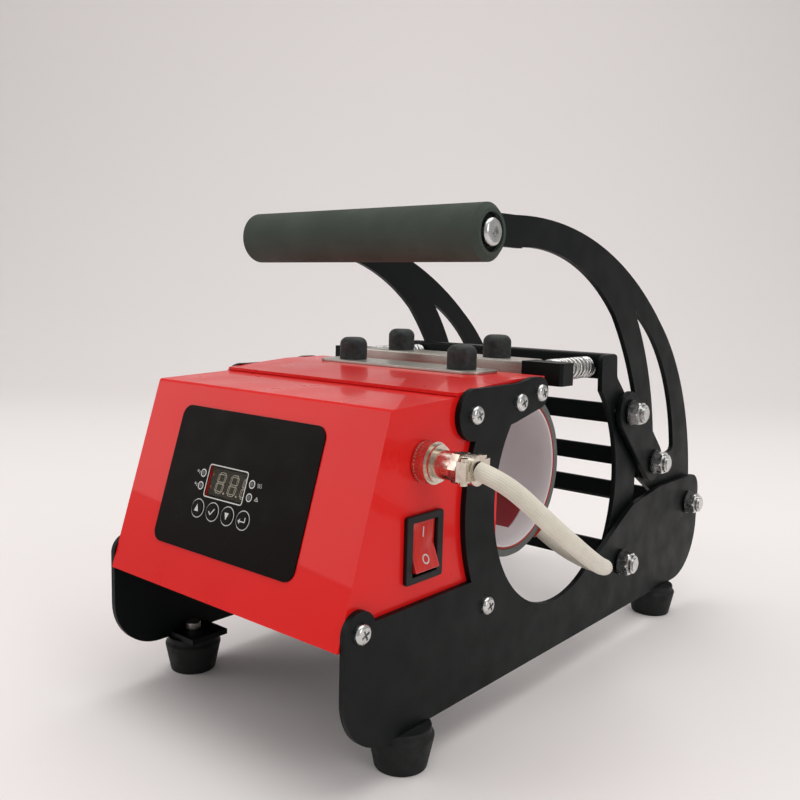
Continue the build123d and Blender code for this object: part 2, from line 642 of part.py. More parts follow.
# ---- rear frame ---------------------------------------------------------------------
def slot_path():
    """Where the link bolt runs in the frame side, in the frame's own rest position."""
    steps = 9
    places = []
    for i in range(steps + 1):
        turn = ARM_OPEN * i / steps
        on_arm = turned(LINK_FRAME, LINK_ARM, -LINK_RATIO * turn)
        moved = turned(on_arm, ARM_PIVOT, -turn)
        places.append(turned(moved, FRAME_PIVOT, FRAME_RATIO * turn))
    return places


def frame_side():
    """The right side of the rear frame, hollowed in front around the heater."""
    body = outline((38, 182, 4), (57.5, 182, 3), (59, 168, 5), (90, 140, 14), (92, 122, 4),
                   (92, 92, 20), (79, 50, 0), (54, 50, 0), (47, 66, 0), (62, 90, 0), (40, 150, 0))
    body = body + Pos(*FRAME_PIVOT) * Circle(13.5)
    body = body - Pos(-16, 103) * Circle(80)
    for place in slot_path():
        body = body - Pos(*place) * Circle(BOLT_R + 0.4)
    body = body - Pos(*FRAME_PIVOT) * Circle(BOLT_HOLE_R)
    return sheet_x(body, ARM_X0, ARM_X1)


def rear_frame():
    save("frame_side_right", frame_side())
    save("frame_side_left", left(frame_side()))
    slats = [block(-ARM_X0, ARM_X0, y, y + STEEL, z0, z1) for y, z0, z1 in SLATS]
    save("frame_slats", *[fillet(slat.edges().filter_by(Axis.X), 0.8) for slat in slats])
    z0, z1 = TOP_BAR_Z
    angle = outline((TOP_BAR_Y, z0, 0), (TOP_BAR_Y + STEEL, z0, 0), (TOP_BAR_Y + STEEL, z1 - STEEL, 0),
                    (TOP_BAR_Y + 11, z1 - STEEL, 0), (TOP_BAR_Y + 11, z1, 0), (TOP_BAR_Y, z1, 1.5))
    bar = sheet_x(angle, -ARM_X0, ARM_X0)
    for x in (-SPRING_X, SPRING_X):
        bar = bar - rod_y(3.0, TOP_BAR_Y - 2, TOP_BAR_Y + 5, x, SPRING_Z)
    save("frame_top_bar", bar)
    low = block(-ARM_X0, ARM_X0, 53.0, 56.0, 53.0, 67.0)
    save("frame_bottom_bar", fillet(low.edges().filter_by(Axis.X), 0.8))


# ---- handle arms --------------------------------------------------------------------
def arm_outer_edge():
    return [ThreePointArc((-60, 255), (31, 244.6), (116.4, 201)),
            ThreePointArc((116.4, 201), (159, 156), (182.5, 88))]


def arm_inner_edge():
    return [ThreePointArc((96, 128), (80, 167), (52, 205)),
            ThreePointArc((52, 205), (6, 231.5), (-60, 239))]


def arm():
    """One flat arm, from the grip over the top and down to the pivots."""
    outer = arm_outer_edge()
    inner = arm_inner_edge()
    foot = Polyline((182.5, 88), (184.5, 73), (169.5, 58.5), (98, 100), (96, 128))
    blade = make_face(Curve() + outer + [foot] + inner + [Line((-60, 239), (-60, 255))])
    top = outline((-90, 239, 0), (-55, 239, 0), (-55, 255, 0), (-90, 254.5, 0))
    blade = blade + top + Pos(*GRIP) * Circle(12)
    blade = blade + Pos(*ARM_PIVOT) * Circle(15) + Pos(*LINK_ARM) * Circle(13)
    window = make_face(Curve() + [ThreePointArc((78, 208), (103, 169), (116, 128)),
                                  ThreePointArc((116, 128), (131, 113), (151, 113)),
                                  ThreePointArc((151, 113), (132.5, 162), (78, 208))])
    window = fillet(window.vertices().sort_by(Axis.X)[-1], 4)
    blade = blade - window
    for place in (ARM_PIVOT, LINK_ARM):
        blade = blade - Pos(*place) * Circle(BOLT_HOLE_R)
    blade = blade - Pos(*GRIP) * Circle(BOLT_R)
    return sheet_x(blade, ARM_X0, ARM_X1)


def foam_grip():
    """Foam sleeve over the core, slotted for the arms and recessed at its ends."""
    sleeve = rod_x(GRIP_R, -GRIP_HALF, GRIP_HALF, GRIP)
    sleeve = chamfer(sleeve.edges().filter_by(GeomType.CIRCLE), 2.6)
    sleeve = sleeve - rod_x(CORE_R, -ARM_X0, ARM_X0, GRIP)
    end = rod_x(12.2, ARM_X0 - 0.2, ARM_X1 + 0.2, GRIP)
    exit_slot = block(ARM_X0 - 0.2, ARM_X1 + 0.2, GRIP[0], GRIP[0] + 20, 237.5, 255.8)
    recess = rod_x(9.5, ARM_X1, GRIP_HALF + 1, GRIP)
    cut = end + exit_slot + recess
    return sleeve - cut - left(cut)


def grip_screw():
    head = rod_x(7.0, ARM_X1, ARM_X1 + 4.2, GRIP)
    head = fillet(head.edges().sort_by(Axis.X)[-1], 2.4)
    head = head - sheet_x(Pos(*GRIP) * RegularPolygon(2.9, 6), ARM_X1 + 1.8, ARM_X1 + 5)
    return head + rod_x(BOLT_R, GRIP_SCREW_X, ARM_X1, GRIP)


def handle():
    save("arm_right", arm())
    save("arm_left", left(arm()))
    save("arm_tie_bar", block(-ARM_X0, ARM_X0, 145, 148, 71, 84))
    core = rod_x(CORE_R, -ARM_X0, ARM_X0, GRIP)
    screw_hole = rod_x(BOLT_R, GRIP_SCREW_X, ARM_X0, GRIP)
    core = core - screw_hole - left(screw_hole)
    save("grip_core", core)
    save("foam_grip", foam_grip())
    save("grip_screws", *both(grip_screw()))


# ---- links --------------------------------------------------------------------------
def link():
    """The flat toggle link outside each arm, with round ends."""
    dy = LINK_FRAME[0] - LINK_ARM[0]
    dz = LINK_FRAME[1] - LINK_ARM[1]
    middle = ((LINK_FRAME[0] + LINK_ARM[0]) / 2, (LINK_FRAME[1] + LINK_ARM[1]) / 2)
    bar = Pos(*middle) * Rot(0, 0, degrees(atan2(dz, dy))) * SlotCenterToCenter(hypot(dy, dz), 26)
    for place in (LINK_ARM, LINK_FRAME):
        bar = bar - Pos(*place) * Circle(BOLT_R)
    plate = sheet_x(bar, X_IN, X_OUT)
    rim = plate.edges().group_by(Axis.X)[-1].filter_by(lambda e: e.length > 30)
    return chamfer(rim, 0.6)


def links():
    save("toggle_links", *both(link()))


# ---- assembly -----------------------------------------------------------------------
def main():
    os.makedirs("parts", exist_ok=True)
    save("side_plate_right", side_plate())
    save("side_plate_left", left(side_plate()))
    feet()
    tie_rods()
    side_screws()
    control_box()
    panel()
    power_board()
    rocker_switch()
    save("panel_socket", panel_socket())
    save("plug_coupling_ring", knurled_ring())
    cable_plug()
    save("power_inlet", power_inlet())
    save("heater_cable", heater_cable())
    save("cable_boot", cable_boot())
    heater()
    front_clamp()
    rear_clamp()
    rear_frame()
    handle()
    links()
    pivot_set("base_pivot_bolts", "base_pivot_nuts_washers", (ARM_PIVOT, FRAME_PIVOT))
    pivot_set("link_bolts", "link_nuts_washers", (LINK_ARM, LINK_FRAME))


main()
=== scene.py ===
"""Looks of the mug heat press: materials, heater, cable, springs and panel graphics."""
import json
import math

import bmesh
import bpy
from mathutils import Matrix, Vector


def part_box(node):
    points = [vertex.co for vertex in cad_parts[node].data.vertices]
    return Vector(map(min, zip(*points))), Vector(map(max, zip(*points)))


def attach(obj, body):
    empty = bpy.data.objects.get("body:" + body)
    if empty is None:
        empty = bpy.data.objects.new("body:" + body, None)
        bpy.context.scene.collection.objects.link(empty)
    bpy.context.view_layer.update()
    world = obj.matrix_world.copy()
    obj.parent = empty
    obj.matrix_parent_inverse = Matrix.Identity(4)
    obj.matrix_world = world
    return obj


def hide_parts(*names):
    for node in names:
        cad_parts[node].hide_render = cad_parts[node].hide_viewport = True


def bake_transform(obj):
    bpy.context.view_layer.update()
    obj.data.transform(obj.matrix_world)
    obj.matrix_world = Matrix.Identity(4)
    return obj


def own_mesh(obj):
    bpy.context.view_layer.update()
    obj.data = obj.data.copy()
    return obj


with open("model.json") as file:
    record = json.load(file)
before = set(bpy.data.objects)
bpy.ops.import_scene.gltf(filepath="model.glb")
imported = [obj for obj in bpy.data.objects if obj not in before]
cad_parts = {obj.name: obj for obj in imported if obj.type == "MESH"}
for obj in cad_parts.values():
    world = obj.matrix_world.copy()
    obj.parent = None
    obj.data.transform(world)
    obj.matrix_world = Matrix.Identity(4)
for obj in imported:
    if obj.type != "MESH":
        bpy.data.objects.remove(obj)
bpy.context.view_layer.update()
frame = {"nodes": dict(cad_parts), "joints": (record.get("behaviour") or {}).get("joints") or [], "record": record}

MM = 0.001


def joint_named(name):
    """The record of one joint."""
    return next(joint for joint in frame["joints"] if joint["name"] == name)


# ---- camera -------------------------------------------------------------------------
CAMERA_PLACE = Vector((0.3171, -0.4326, 0.2156))
CAMERA_YAW = math.radians(39.72)
CAMERA_PITCH = math.radians(-7.00)
CAMERA_ROLL = math.radians(1.506)
CAMERA_LENS = 39.36


def make_camera():
    """The camera stands at the right front, a little above the press."""
    ahead = Vector((-math.sin(CAMERA_YAW) * math.cos(CAMERA_PITCH),
                    math.cos(CAMERA_YAW) * math.cos(CAMERA_PITCH), math.sin(CAMERA_PITCH)))
    level = Vector((math.cos(CAMERA_YAW), math.sin(CAMERA_YAW), 0))
    above = level.cross(ahead)
    right = level * math.cos(CAMERA_ROLL) + above * math.sin(CAMERA_ROLL)
    up = above * math.cos(CAMERA_ROLL) - level * math.sin(CAMERA_ROLL)
    data = bpy.data.cameras.new("camera")
    data.lens = CAMERA_LENS
    data.sensor_width = 36
    data.clip_start = 0.01
    camera = bpy.data.objects.new("camera", data)
    bpy.context.scene.collection.objects.link(camera)
    turn = Matrix((right, up, -ahead)).transposed().to_4x4()
    camera.matrix_world = Matrix.Translation(CAMERA_PLACE) @ turn
    bpy.context.scene.camera = camera


make_camera()


# ---- mesh helpers -------------------------------------------------------------------
def new_object(name, mesh, body, material, smooth=True):
    """Link a mesh as a piece on a CAD body, with its material."""
    piece = bpy.data.objects.new(name, mesh)
    bpy.context.scene.collection.objects.link(piece)
    mesh.materials.append(material)
    if smooth:
        mesh.polygons.foreach_set("use_smooth", [True] * len(mesh.polygons))
        mesh.set_sharp_from_angle(angle=math.radians(35))
    if body:
        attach(piece, body)
    return piece


def mesh_from(name, vertices, faces):
    """A mesh with its normals turned outwards."""
    mesh = bpy.data.meshes.new(name)
    mesh.from_pydata([tuple(v) for v in vertices], [], faces)
    shape = bmesh.new()
    shape.from_mesh(mesh)
    bmesh.ops.recalc_face_normals(shape, faces=shape.faces)
    shape.to_mesh(mesh)
    shape.free()
    mesh.update()
    return mesh


def tube_mesh(name, points, ring, closed_ends=True):
    """Sweep a ring function ring(i, angle) -> radius along points, without twist."""
    sides = ring.sides
    tangents = []
    for i in range(len(points)):
        before = points[max(i - 1, 0)]
        after = points[min(i + 1, len(points) - 1)]
        tangents.append((after - before).normalized())
    across = tangents[0].orthogonal().normalized()
    vertices = []
    for i, (point, tangent) in enumerate(zip(points, tangents)):
        across = (across - tangent * across.dot(tangent)).normalized()
        other = tangent.cross(across)
        for j in range(sides):
            angle = 2 * math.pi * j / sides
            radius = ring(i, angle)
            vertices.append(point + across * radius * math.cos(angle) + other * radius * math.sin(angle))
    faces = []
    for i in range(len(points) - 1):
        for j in range(sides):
            k = (j + 1) % sides
            a = i * sides
            faces.append((a + j, a + k, a + sides + k, a + sides + j))
    if closed_ends:
        faces.append(tuple(range(sides)))
        last = (len(points) - 1) * sides
        faces.append(tuple(range(last, last + sides)))
    return mesh_from(name, vertices, faces)


class Ring:
    """A cross-section for tube_mesh: a number of sides and a radius rule."""

    def __init__(self, sides, rule):
        self.sides = sides
        self.rule = rule

    def __call__(self, i, angle):
        return self.rule(i, angle)


# ---- materials ----------------------------------------------------------------------
NUT_X = 86.6 * MM               # outer face of the pivot washers, from the middle


class Paint:
    """A Principled material under construction, textured in object metres."""

    def __init__(self, name, colour, roughness, metallic=0.0, **sockets):
        self.material = bpy.data.materials.new(name)
        self.material.use_nodes = True
        self.nodes = self.material.node_tree.nodes
        self.links = self.material.node_tree.links
        self.shader = self.nodes["Principled BSDF"]
        self.shader.inputs["Base Color"].default_value = (*colour, 1)
        self.shader.inputs["Roughness"].default_value = roughness
        self.shader.inputs["Metallic"].default_value = metallic
        for socket, value in sockets.items():
            self.shader.inputs[socket.replace("_", " ")].default_value = value
        self.colour = colour
        self.place = self.nodes.new("ShaderNodeTexCoord").outputs["Object"]
        self.normal = None

    def stretched(self, scale):
        """Object coordinates scaled by a vector, for brushed or woven patterns."""
        mapping = self.nodes.new("ShaderNodeMapping")
        mapping.inputs["Scale"].default_value = scale
        self.links.new(self.place, mapping.inputs["Vector"])
        return mapping.outputs["Vector"]

    def noise(self, scale, detail=3.0, vector=None):
        texture = self.nodes.new("ShaderNodeTexNoise")
        texture.inputs["Scale"].default_value = scale
        texture.inputs["Detail"].default_value = detail
        self.links.new(vector or self.place, texture.inputs["Vector"])
        return texture.outputs["Fac"]

    def cells(self, scale):
        texture = self.nodes.new("ShaderNodeTexVoronoi")
        texture.inputs["Scale"].default_value = scale
        self.links.new(self.place, texture.inputs["Vector"])
        return texture.outputs["Distance"]

    def ranged(self, value, low, high, from_low=0.3, from_high=0.7):
        node = self.nodes.new("ShaderNodeMapRange")
        node.inputs["From Min"].default_value = from_low
        node.inputs["From Max"].default_value = from_high
        node.inputs["To Min"].default_value = low
        node.inputs["To Max"].default_value = high
        self.links.new(value, node.inputs["Value"])
        return node.outputs["Result"]

    def mixed(self, factor, first, second):
        node = self.nodes.new("ShaderNodeMix")
        node.data_type = "RGBA"
        self.links.new(factor, node.inputs["Factor"])
        for socket, colour in (("A", first), ("B", second)):
            target = [s for s in node.inputs if s.name == socket and s.type == "RGBA"][0]
            if isinstance(colour, tuple):
                target.default_value = (*colour, 1)
            else:
                self.links.new(colour, target)
        return [s for s in node.outputs if s.type == "RGBA"][0]

    def tint(self, factor, second, first=None):
        """Vary the base colour between the material's own and a second one."""
        result = self.mixed(factor, first or self.colour, second)
        self.links.new(result, self.shader.inputs["Base Color"])
        return result

    def rough(self, value, low, high):
        self.links.new(self.ranged(value, low, high), self.shader.inputs["Roughness"])

    def bump(self, height, strength, distance):
        node = self.nodes.new("ShaderNodeBump")
        node.inputs["Strength"].default_value = strength
        node.inputs["Distance"].default_value = distance
        self.links.new(height, node.inputs["Height"])
        if self.normal:
            self.links.new(self.normal, node.inputs["Normal"])
        self.normal = node.outputs["Normal"]
        self.links.new(self.normal, self.shader.inputs["Normal"])

    def edge_wear_and_highlight(self, colour, radius, amount):
        """Lighten the coat along the edges, broken up by noise: partly wear, partly a painted highlight where the
        edges catch the light.
        """
        bevel = self.nodes.new("ShaderNodeBevel")
        bevel.samples = 4
        bevel.inputs["Radius"].default_value = radius
        geometry = self.nodes.new("ShaderNodeNewGeometry")
        dot = self.nodes.new("ShaderNodeVectorMath")
        dot.operation = "DOT_PRODUCT"
        self.links.new(bevel.outputs["Normal"], dot.inputs[0])
        self.links.new(geometry.outputs["Normal"], dot.inputs[1])
        edge = self.ranged(dot.outputs["Value"], 1.0, 0.0, 0.75, 0.98)
        breakup = self.ranged(self.noise(220, 5), 0.0, amount, 0.45, 0.7)
        both = self.nodes.new("ShaderNodeMath")
        both.operation = "MULTIPLY"
        self.links.new(edge, both.inputs[0])
        self.links.new(breakup, both.inputs[1])
        self.tint(both.outputs["Value"], colour)


def red_paint():
    paint = Paint("red_paint", (0.70, 0.008, 0.007), 0.30, Specular_IOR_Level=0.12, Coat_Weight=0.22,
                  Coat_Roughness=0.03)
    paint.rough(paint.noise(38, 4), 0.26, 0.38)
    paint.tint(paint.ranged(paint.noise(9, 2), 0, 1), (0.76, 0.012, 0.010))
    paint.bump(paint.noise(620, 2), 0.03, 0.0004)
    paint.bump(paint.noise(26, 1), 0.03, 0.003)
    return paint.material


def black_coat():
    paint = Paint("black_coat", (0.0030, 0.0046, 0.0048), 0.45, Specular_IOR_Level=0.14)
    paint.rough(paint.noise(60, 5), 0.38, 0.54)
    # wear and painted highlight: the black coat is lightened along its edges, where they catch the light
    paint.edge_wear_and_highlight((0.045, 0.05, 0.05), 0.0006, 0.7)
    paint.bump(paint.noise(1500, 2), 0.16, 0.0003)
    return paint.material


def zinc():
    paint = Paint("zinc", (0.50, 0.475, 0.42), 0.34, 0.9)
    grain = paint.noise(60, 4, paint.stretched((0.15, 14, 14)))
    paint.tint(paint.ranged(paint.noise(70, 3), 0, 1), (0.40, 0.385, 0.36))
    paint.rough(grain, 0.28, 0.46)
    paint.bump(grain, 0.10, 0.0002)
    return paint.material


def bright_steel():
    paint = Paint("bright_steel", (0.74, 0.74, 0.72), 0.22, 1.0)
    paint.tint(paint.ranged(paint.noise(240, 4), 0, 1), (0.52, 0.53, 0.53))
    paint.rough(paint.noise(420, 3), 0.15, 0.34)
    return paint.material


def nut_steel():
    """Bright nuts over dark washers: the colour changes where the nuts start."""
    paint = Paint("nut_steel", (0.74, 0.74, 0.72), 0.24, 1.0)
    side = paint.nodes.new("ShaderNodeSeparateXYZ")
    paint.links.new(paint.place, side.inputs["Vector"])
    width = paint.nodes.new("ShaderNodeMath")
    width.operation = "ABSOLUTE"
    paint.links.new(side.outputs["X"], width.inputs[0])
    outside = paint.ranged(width.outputs["Value"], 0.0, 1.0, NUT_X, NUT_X + 0.0001)
    bright = paint.mixed(paint.ranged(paint.noise(240, 4), 0, 1), (0.74, 0.74, 0.72), (0.52, 0.53, 0.53))
    paint.links.new(paint.mixed(outside, (0.035, 0.038, 0.038), bright), paint.shader.inputs["Base Color"])
    paint.rough(paint.noise(420, 3), 0.18, 0.36)
    return paint.material


def nickel():
    paint = Paint("nickel", (0.76, 0.70, 0.61), 0.20, 1.0)
    paint.tint(paint.ranged(paint.noise(300, 4), 0, 1), (0.55, 0.48, 0.40))
    paint.rough(paint.noise(500, 3), 0.14, 0.32)
    return paint.material


def rubber():
    paint = Paint("rubber", (0.006, 0.007, 0.007), 0.62, Specular_IOR_Level=0.25)
    paint.tint(paint.ranged(paint.noise(120, 5), 0, 1), (0.012, 0.013, 0.013))
    paint.rough(paint.noise(180, 4), 0.5, 0.75)
    paint.bump(paint.noise(1400, 3), 0.2, 0.0003)
    return paint.material


def foam():
    paint = Paint("foam", (0.040, 0.052, 0.042), 0.85, Specular_IOR_Level=0.25)
    pores = paint.cells(1500)
    paint.tint(paint.ranged(paint.noise(40, 5), 0, 1), (0.058, 0.072, 0.060))
    paint.bump(pores, 0.35, 0.0005)
    paint.bump(paint.noise(95, 3), 0.14, 0.0016)
    return paint.material


def cap_plastic():
    paint = Paint("cap_plastic", (0.014, 0.017, 0.017), 0.55, Specular_IOR_Level=0.3)
    paint.tint(paint.ranged(paint.noise(300, 4), 0, 1), (0.040, 0.045, 0.046))
    paint.bump(paint.noise(1100, 3), 0.22, 0.0003)
    return paint.material


def black_plastic():
    paint = Paint("black_plastic", (0.006, 0.006, 0.0065), 0.38, Specular_IOR_Level=0.25)
    paint.rough(paint.noise(300, 3), 0.32, 0.48)
    paint.bump(paint.noise(1800, 2), 0.12, 0.0002)
    return paint.material


def overlay_film():
    paint = Paint("overlay_film", (0.0040, 0.0022, 0.0014), 0.36, Specular_IOR_Level=0.05)
    paint.rough(paint.noise(70, 4), 0.26, 0.38)
    paint.bump(paint.noise(900, 2), 0.04, 0.0002)
    return paint.material


def smoked_window():
    paint = Paint("smoked_window", (0.02, 0.018, 0.012), 0.20, Alpha=0.10, Specular_IOR_Level=0.15)
    paint.rough(paint.noise(90, 2), 0.10, 0.16)
    return paint.material


def display_face():
    paint = Paint("display_face", (0.040, 0.034, 0.022), 0.6, Specular_IOR_Level=0.2)
    paint.tint(paint.ranged(paint.noise(400, 3), 0, 1), (0.032, 0.027, 0.018))
    return paint.material


def segment_ink():
    paint = Paint("segment_ink", (0.66, 0.60, 0.46), 0.5)
    paint.tint(paint.ranged(paint.noise(700, 3), 0, 1), (0.56, 0.51, 0.39))
    return paint.material


def white_ink():
    paint = Paint("white_ink", (0.66, 0.66, 0.64), 0.45)
    paint.tint(paint.ranged(paint.noise(900, 3), 0, 1), (0.52, 0.52, 0.50))
    return paint.material


def red_dot():
    paint = Paint("red_dot", (0.30, 0.02, 0.02), 0.4)
    paint.tint(paint.ranged(paint.noise(900, 2), 0, 1), (0.22, 0.015, 0.015))
    return paint.material


def red_rocker():
    paint = Paint("red_rocker", (0.55, 0.006, 0.006), 0.18, Coat_Weight=0.5, Coat_Roughness=0.05,
                  Transmission_Weight=0.12, IOR=1.5)
    ribs = paint.noise(30, 1, paint.stretched((0.2, 26, 0.6)))
    paint.tint(paint.ranged(ribs, 0, 1), (0.72, 0.02, 0.012))
    paint.bump(paint.noise(500, 2), 0.05, 0.0003)
    return paint.material


def lamp_lens():
    paint = Paint("lamp_lens", (0.045, 0.045, 0.042), 0.3)
    paint.tint(paint.ranged(paint.noise(700, 2), 0, 1), (0.065, 0.065, 0.06))
    return paint.material


def sleeve():
    paint = Paint("sleeve", (0.74, 0.70, 0.60), 0.72, Sheen_Weight=0.25)
    paint.tint(paint.ranged(paint.noise(85, 5), 0, 1), (0.64, 0.60, 0.50))
    paint.bump(paint.noise(1600, 3), 0.35, 0.0004)
    return paint.material


def sponge():
    paint = Paint("sponge", (0.135, 0.142, 0.136), 0.85)
    paint.tint(paint.ranged(paint.noise(60, 4), 0, 1), (0.175, 0.182, 0.176))
    paint.bump(paint.cells(1100), 0.4, 0.0006)
    return paint.material


def silicone():
    paint = Paint("silicone", (0.52, 0.045, 0.022), 0.5)
    paint.tint(paint.ranged(paint.noise(90, 4), 0, 1), (0.42, 0.032, 0.018))
    paint.bump(paint.noise(1300, 3), 0.2, 0.0003)
    return paint.material


def patch_red():
    paint = Paint("patch_red", (0.27, 0.014, 0.018), 0.42)
    paint.tint(paint.ranged(paint.noise(50, 4), 0, 1), (0.21, 0.011, 0.015))
    paint.bump(paint.noise(1100, 3), 0.2, 0.0003)
    return paint.material


def liner_cloth():
    paint = Paint("liner_cloth", (0.80, 0.74, 0.75), 0.62, Sheen_Weight=0.15)
    weave = paint.nodes.new("ShaderNodeTexWave")
    weave.bands_direction = "DIAGONAL"
    weave.inputs["Scale"].default_value = 520
    weave.inputs["Distortion"].default_value = 1.5
    paint.links.new(paint.place, weave.inputs["Vector"])
    paint.tint(paint.ranged(paint.noise(26, 4), 0, 1), (0.69, 0.64, 0.66))
    paint.bump(weave.outputs["Fac"], 0.18, 0.0003)
    paint.bump(paint.noise(45, 2), 0.12, 0.002)
    return paint.material


def circuit():
    paint = Paint("circuit", (0.02, 0.11, 0.04), 0.35)
    paint.tint(paint.ranged(paint.cells(240), 0, 1, 0.2, 0.6), (0.03, 0.17, 0.07))
    return paint.material


def key_film():
    paint = Paint("key_film", (0.0050, 0.0030, 0.0022), 0.36, Specular_IOR_Level=0.06)
    paint.rough(paint.noise(200, 3), 0.28, 0.4)
    return paint.material


SLOT_MATERIALS = {
    "red_paint": red_paint(), "black_coat": black_coat(), "zinc": zinc(),
    "bright_steel": bright_steel(), "nickel": nickel(), "rubber": rubber(), "foam": foam(),
    "cap_plastic": cap_plastic(), "black_plastic": black_plastic(),
    "overlay_film": overlay_film(), "smoked_window": smoked_window(), "red_rocker": red_rocker(),
    "sleeve": sleeve(), "sponge": sponge(), "silicone": silicone(), "liner_cloth": liner_cloth(),
    "circuit": circuit(), "key_film": key_film(),
}
INK = white_ink()
PATCH = patch_red()


# ---- CAD nodes: finish and softened edges -------------------------------------------
EDGE_WIDTH = {"red_paint": 0.0005, "black_coat": 0.0003, "zinc": 0.00025, "rubber": 0.0006,
              "black_plastic": 0.0004, "cap_plastic": 0.0004, "overlay_film": 0.00015,
              "red_rocker": 0.0005}


def soften(node, width):
    """Round the edges of a CAD node with modifiers, leaving its own mesh as it is."""
    weld = node.modifiers.new("weld", "WELD")
    weld.merge_threshold = 0.000001
    planar = node.modifiers.new("planar", "DECIMATE")
    planar.decimate_type = "DISSOLVE"
    planar.angle_limit = math.radians(0.5)
    bevel = node.modifiers.new("bevel", "BEVEL")
    bevel.width = width
    bevel.segments = 2
    bevel.limit_method = "ANGLE"
    bevel.angle_limit = math.radians(40)
    weighted = node.modifiers.new("weighted", "WEIGHTED_NORMAL")
    weighted.keep_sharp = True


def dress_nodes():
    """Give every CAD node its slot's material and smooth, softened edges."""
    for row in frame["record"]["subparts"]:
        node = frame["nodes"][row["node"]]
        mesh = node.data
        mesh.materials.clear()
        mesh.materials.append(SLOT_MATERIALS[row["material_slot"]])
        mesh.polygons.foreach_set("use_smooth", [True] * len(mesh.polygons))
        mesh.set_sharp_from_angle(angle=math.radians(32))
        if row["material_slot"] in EDGE_WIDTH:
            soften(node, EDGE_WIDTH[row["material_slot"]])
    nuts = nut_steel()
    own = {"display_module": display_face(), "indicator_lamps": lamp_lens(), "terminal_patch": PATCH,
           "base_pivot_nuts_washers": nuts, "link_nuts_washers": nuts}
    for name, material in own.items():
        frame["nodes"][name].data.materials[0] = material


dress_nodes()


# ---- heater cable -------------------------------------------------------------------
CABLE_R = 4.1 * MM
CABLE_ROUTE = ((111.5, -131.9, 141.8), (120.8, -131.7, 139.6), (130.4, -128.6, 133.8),
               (137.7, -120.8, 123.8), (141.4, -107.5, 113.3), (140.7, -87.5, 101.3),
               (135.0, -62.0, 89.6), (124.8, -35.5, 80.7), (111.4, -10.8, 72.1), (97.9, 8.2, 65.9),
               (82.0, 18.5, 63.5), (66.0, 20.0, 68.0), (56.0, 17.0, 75.5))
CABLE_RIBS = 22
RIB_HEIGHT = 0.17 * MM


def spline_points(route):
    """Points of the smooth curve whose control points are the route, in metres."""
    curve = bpy.data.curves.new("cable_line", "CURVE")
    curve.dimensions = "3D"
    curve.resolution_u = 10
    spline = curve.splines.new("NURBS")
    spline.points.add(len(route) - 1)
    for point, place in zip(spline.points, route):
        point.co = (*[value * MM for value in place], 1)
    spline.order_u = 3
    spline.use_endpoint_u = True
    line = bpy.data.objects.new("cable_line", curve)
    mesh = bpy.data.meshes.new_from_object(line)
    points = [vertex.co.copy() for vertex in mesh.vertices]
    bpy.data.meshes.remove(mesh)
    bpy.data.objects.remove(line)
    bpy.data.curves.remove(curve)
    return points


def heater_cable():
    """A ribbed sleeve that follows the cable's line from the plug to the heater."""
    points = spline_points(CABLE_ROUTE)

    def rib(i, angle):
        twist = 0.02 * i
        return CABLE_R - RIB_HEIGHT * (0.5 - 0.5 * math.cos(CABLE_RIBS * angle + twist))

    mesh = tube_mesh("heater_cable_sleeve", points, Ring(CABLE_RIBS * 6, rib))
    cable = new_object("heater_cable_sleeve", mesh, "base", SLOT_MATERIALS["sleeve"])
    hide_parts("heater_cable")


heater_cable()


# ---- heater -------------------------------------------------------------------------
bore = frame["record"]["mounts"][0]
HEATER_Y, HEATER_Z = bore["pos_m"][1], bore["pos_m"][2]
HEATER_HALF = bore["dims"]["length_mm"] * MM / 2
MUG_R = bore["dims"]["r_mm"] * MM
LINER_T = 1.7 * MM
MAT_T = 0.8 * MM
PAD_T = 4.5 * MM
FRONT_ANGLE = math.radians(102)
REAR_ANGLE = math.radians(440)
BOTTOM_ANGLE = math.radians(270)
PATCH_ANGLES = (math.radians(294), math.radians(334))
PATCH_HALF = 42 * MM
STEPS_PER_RADIAN = 22
EDGE_WIDE = 0.6 * MM            # how far in from a layer's side edge it starts to round over
EDGE_DROP = 0.35 * MM
SPONGE_WAVE = 0.2 * MM


def ring_point(angle, radius):
    return (HEATER_Y + radius * math.cos(angle), HEATER_Z + radius * math.sin(angle))


def strip_between(inner, outer, half, wave=0.0, steps_x=14):
    """A strip of material between two (Y, Z) polylines, from -half to half along X.

    A wave above zero makes its faces slightly uneven, as soft foam is."""
    vertices = []
    count = len(inner)
    between = [-half + 2 * half * i / steps_x for i in range(1, steps_x)]
    xs = [-half, -half + EDGE_WIDE] + between + [half - EDGE_WIDE, half]
    rows = []
    for x in xs:
        soft = EDGE_DROP if abs(x) == half else 0.0
        row = []
        for line, sign in ((inner, 1), (outer, -1)):
            for k, (y, z) in enumerate(line):
                away = Vector((y - HEATER_Y, z - HEATER_Z)).normalized()
                ripple = wave * math.sin(7.0 * k / count * math.pi + x * 60) * math.cos(x * 40 + k * 0.3)
                shift = sign * soft + ripple
                row.append(len(vertices))
                vertices.append((x, y + away.x * shift, z + away.y * shift))
        rows.append(row)
    faces = []
    around = list(range(count)) + list(range(2 * count - 1, count - 1, -1))
    for a, b in zip(rows, rows[1:]):
        for i, k in enumerate(around):
            n = around[(i + 1) % len(around)]
            faces.append((a[k], a[n], b[n], b[k]))
    for row in (rows[0], rows[-1]):
        for k in range(count - 1):
            faces.append((row[k], row[k + 1], row[count + k + 1], row[count + k]))
    return vertices, faces


def arc_lines(start, end, r_inner, r_outer, steps):
    angles = [start + (end - start) * i / steps for i in range(steps + 1)]
    return [ring_point(a, r_inner) for a in angles], [ring_point(a, r_outer) for a in angles]


